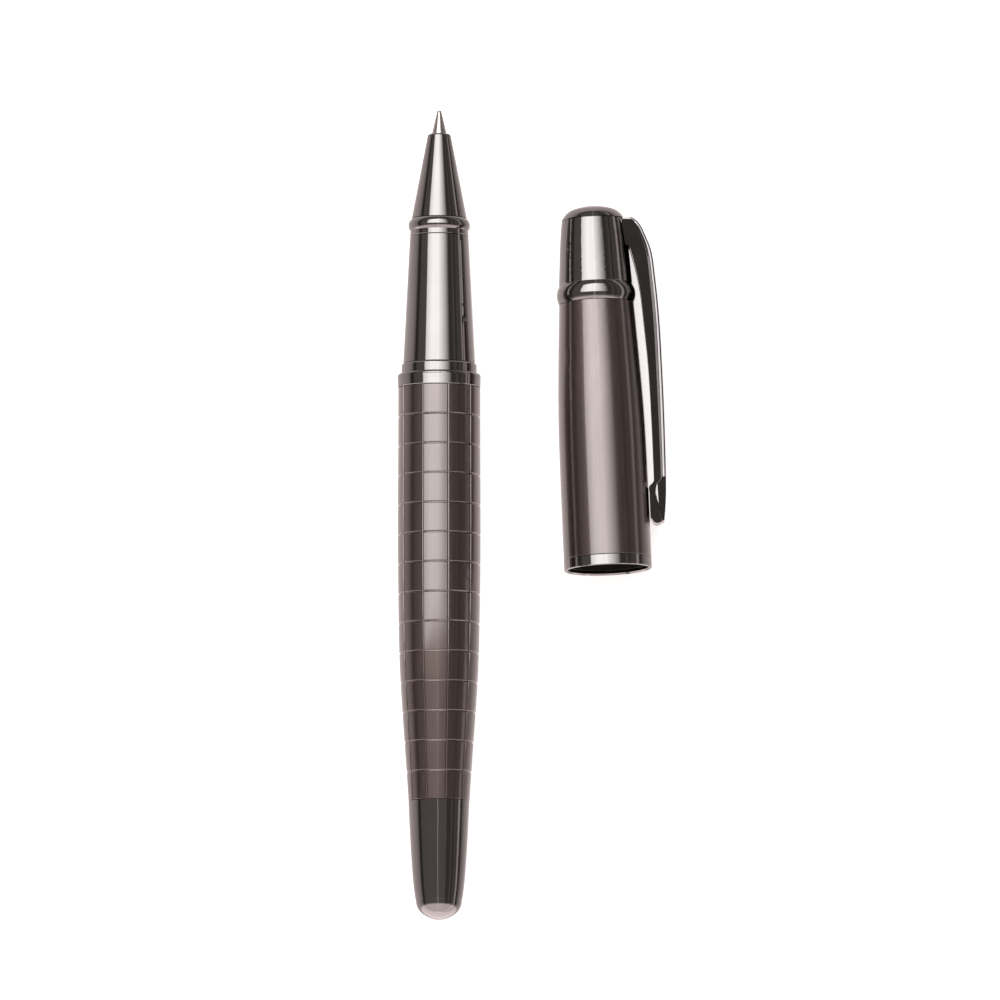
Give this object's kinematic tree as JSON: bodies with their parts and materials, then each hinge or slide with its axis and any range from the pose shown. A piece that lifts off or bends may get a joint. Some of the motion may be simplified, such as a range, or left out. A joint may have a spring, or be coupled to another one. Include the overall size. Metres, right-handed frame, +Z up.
{
  "type": "rollerball pen",
  "caption": "Gunmetal rollerball pen lying open beside its cap: grid-engraved barrel, tapered screw-in section, cone nose with a ball tip, and a cap with a sprung side clip.",
  "frame": {"origin": "on the surface that the pen and cap lie on, under the middle of the box around both", "axes": "+Z up from the surface, +Y along the pen's axis from the tail toward the writing tip, +X from the pen toward the cap and its clip"},
  "size_m": [0.0414, 0.1253, 0.0141],
  "materials": {
    "polished_gunmetal": "polished gunmetal plating over brass",
    "satin_gunmetal": "satin gunmetal lacquer over brass",
    "brass": "bare turned brass",
    "black_plastic": "moulded black plastic, slightly satin",
    "spring_steel": "bright drawn spring steel",
    "refill_grey": "smooth grey moulded tube",
    "nickel_silver": "turned nickel silver, bright",
    "carbide": "ground tungsten carbide",
    "ink_fibre": "bonded fibre soaked with dark ink"
  },
  "bodies": {
    "barrel": {"barrel_tube": "satin_gunmetal", "barrel_trim_ring": "polished_gunmetal", "barrel_thread_insert": "brass", "tail_cap": "polished_gunmetal", "spring_seat": "black_plastic", "refill_spring": "spring_steel"},
    "collar": {"section_collar": "polished_gunmetal"},
    "section": {"section_body": "polished_gunmetal", "section_thread_sleeve": "brass", "nose_bead_ring": "polished_gunmetal", "nose_cone": "polished_gunmetal"},
    "refill": {"refill_tube": "refill_grey", "refill_nose": "black_plastic", "refill_tip": "nickel_silver", "refill_feed": "ink_fibre", "refill_reservoir": "ink_fibre", "refill_end_plug": "black_plastic"},
    "ball": {"refill_ball": "carbide"},
    "cap": {"cap_tube": "satin_gunmetal", "cap_mouth_ring": "polished_gunmetal", "cap_liner": "black_plastic", "cap_bead_ring": "polished_gunmetal", "cap_crown": "polished_gunmetal", "cap_spacer": "brass", "cap_finial": "polished_gunmetal", "cap_screw": "spring_steel", "clip_anchor": "polished_gunmetal"},
    "clip": {"clip_arm": "polished_gunmetal"}
  },
  "joints": [
    {"name": "section_advance", "type": "slide", "parent": "barrel", "child": "collar", "axis": [0, 1, 0], "range_m": [0, 0.0057]},
    {"name": "section_turn", "type": "hinge", "parent": "collar", "child": "section", "pos_m": [-0.01425, 0.0215, 0.00643], "axis": [0, 1, 0], "range_deg": [0, 2520]},
    {"name": "refill_float", "type": "slide", "parent": "section", "child": "refill", "axis": [0, 1, 0], "range_m": [-0.0008, 0], "stiffness_N_per_m": 300, "springref_m": 0.004, "deforming": ["refill_spring"]},
    {"name": "ball_roll", "type": "hinge", "parent": "refill", "child": "ball", "pos_m": [-0.01425, 0.0624, 0.00643], "axis": [1, 0, 0], "continuous": true},
    {"name": "cap_pull", "type": "slide", "parent": "barrel", "child": "cap", "axis": [0, 1, 0], "range_m": [0, 0.0412]},
    {"name": "clip_flex", "type": "hinge", "parent": "cap", "child": "clip", "pos_m": [0.01536, 0.04488, 0.00578], "axis": [-0.0012, 0.0289, 0.9996], "range_deg": [0, 4], "stiffness_Nm_per_rad": 0.6, "springref_deg": -5.73}
  ],
  "couplings": [
    {"joint": "section_advance", "follows": "section_turn", "m_per_rad": 0.00012732}
  ]
}
